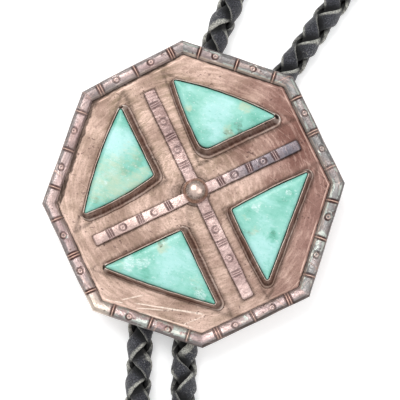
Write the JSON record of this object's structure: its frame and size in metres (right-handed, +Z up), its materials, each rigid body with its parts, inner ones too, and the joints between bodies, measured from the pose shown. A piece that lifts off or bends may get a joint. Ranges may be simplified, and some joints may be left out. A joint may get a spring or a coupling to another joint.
{
  "type": "bolo tie",
  "caption": "Necktie of braided cord that runs through the back of an eight-sided silver slide with a stamped border, a cross of bars and inlaid triangular stones, with metal-tipped ends.",
  "frame": {"origin": "on the surface that it lies on, under the middle of the slide", "axes": "+X to the slide's right seen from its face, +Y towards the neck loop, +Z up, the way the slide's face looks"},
  "size_m": [0.0612, 0.2993, 0.0126],
  "materials": {
    "slide_silver": "tarnished silver with a pink-brown patina, fine scratches and stamped borders",
    "keeper_silver": "plain silver, slightly tarnished",
    "tip_silver": "plain polished silver",
    "turquoise": "polished pale blue-green turquoise with teal clouds and brown matrix",
    "leather": "dark braided leather with pale raw edges"
  },
  "bodies": {
    "root": {"slide": "slide_silver", "cord_keeper": "keeper_silver", "tip_left": "tip_silver", "tip_right": "tip_silver", "stone_up": "turquoise", "stone_right": "turquoise", "stone_down": "turquoise", "stone_left": "turquoise", "braided_cord": "leather"}
  },
  "joints": []
}
